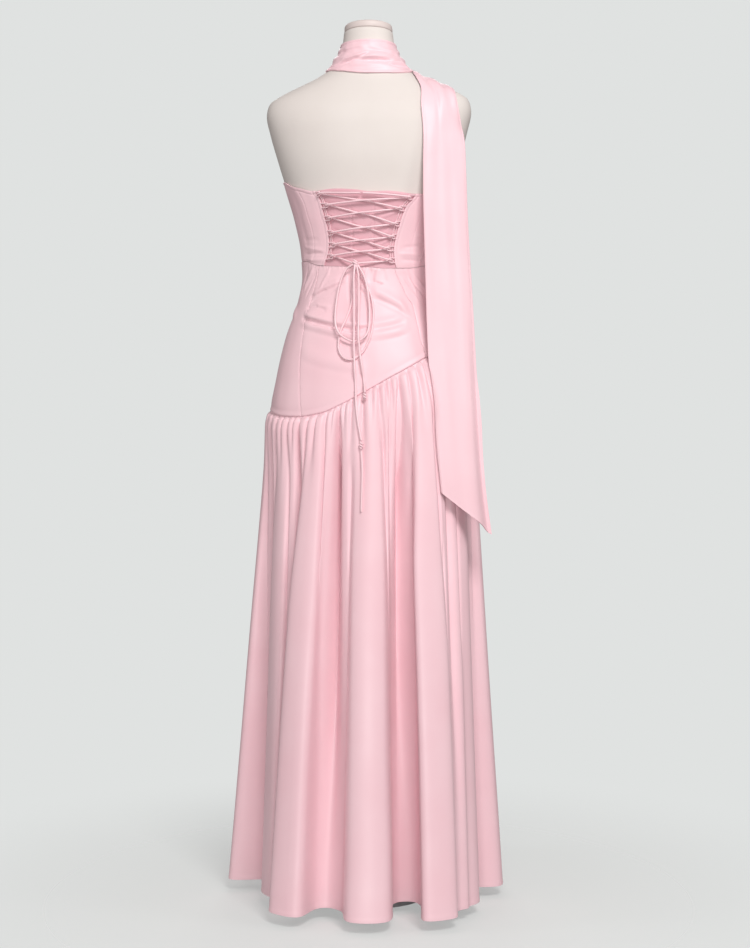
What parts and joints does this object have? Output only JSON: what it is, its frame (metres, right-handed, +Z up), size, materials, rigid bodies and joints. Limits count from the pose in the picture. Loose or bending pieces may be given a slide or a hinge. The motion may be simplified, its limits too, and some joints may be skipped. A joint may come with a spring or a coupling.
{
  "type": "halter dress on a limbless dress form",
  "caption": "Long pink satin halter dress with laced back, draped basque, gathered skirt and long neck scarf, on a cream dress form.",
  "frame": {"origin": "centre of the underside of the stand's base, on the floor", "axes": "+Z up along the pole; the dress faces -Y and its laced back faces +Y; +X is the viewer's left when the back is looked at"},
  "size_m": [0.5063, 0.5256, 1.6003],
  "materials": {
    "form_jersey": "matte",
    "form_cap": "satin",
    "stand_metal": "satin",
    "pink_satin": "satin",
    "pink_lace": "satin"
  },
  "bodies": {
    "root": {"form_torso": "form_jersey", "form_neck_cap": "form_cap", "form_pole": "stand_metal", "form_base": "stand_metal", "bodice_front": "pink_satin", "bodice_back_left": "pink_satin", "bodice_back_right": "pink_satin", "modesty_panel": "pink_satin", "basque_back_centre": "pink_satin", "basque_side_left": "pink_satin", "basque_side_right": "pink_satin", "basque_front": "pink_satin", "skirt_back": "pink_satin", "skirt_front": "pink_satin", "scarf_neck": "pink_satin", "scarf_tail": "pink_satin", "lacing_loop_left_1": "pink_lace", "lacing_loop_left_2": "pink_lace", "lacing_loop_left_3": "pink_lace", "lacing_loop_left_4": "pink_lace", "lacing_loop_left_5": "pink_lace", "lacing_loop_left_6": "pink_lace", "lacing_loop_right_1": "pink_lace", "lacing_loop_right_2": "pink_lace", "lacing_loop_right_3": "pink_lace", "lacing_loop_right_4": "pink_lace", "lacing_loop_right_5": "pink_lace", "lacing_loop_right_6": "pink_lace", "lace_from_left": "pink_lace", "lace_from_right": "pink_lace", "lace_knot": "pink_lace", "bow_loop_large": "pink_lace", "bow_loop_small": "pink_lace", "lace_end_short": "pink_lace", "lace_end_long": "pink_lace", "lace_end_tag": "pink_lace", "lace_end_short_knot": "pink_lace", "lace_end_long_knot": "pink_lace"}
  },
  "joints": []
}
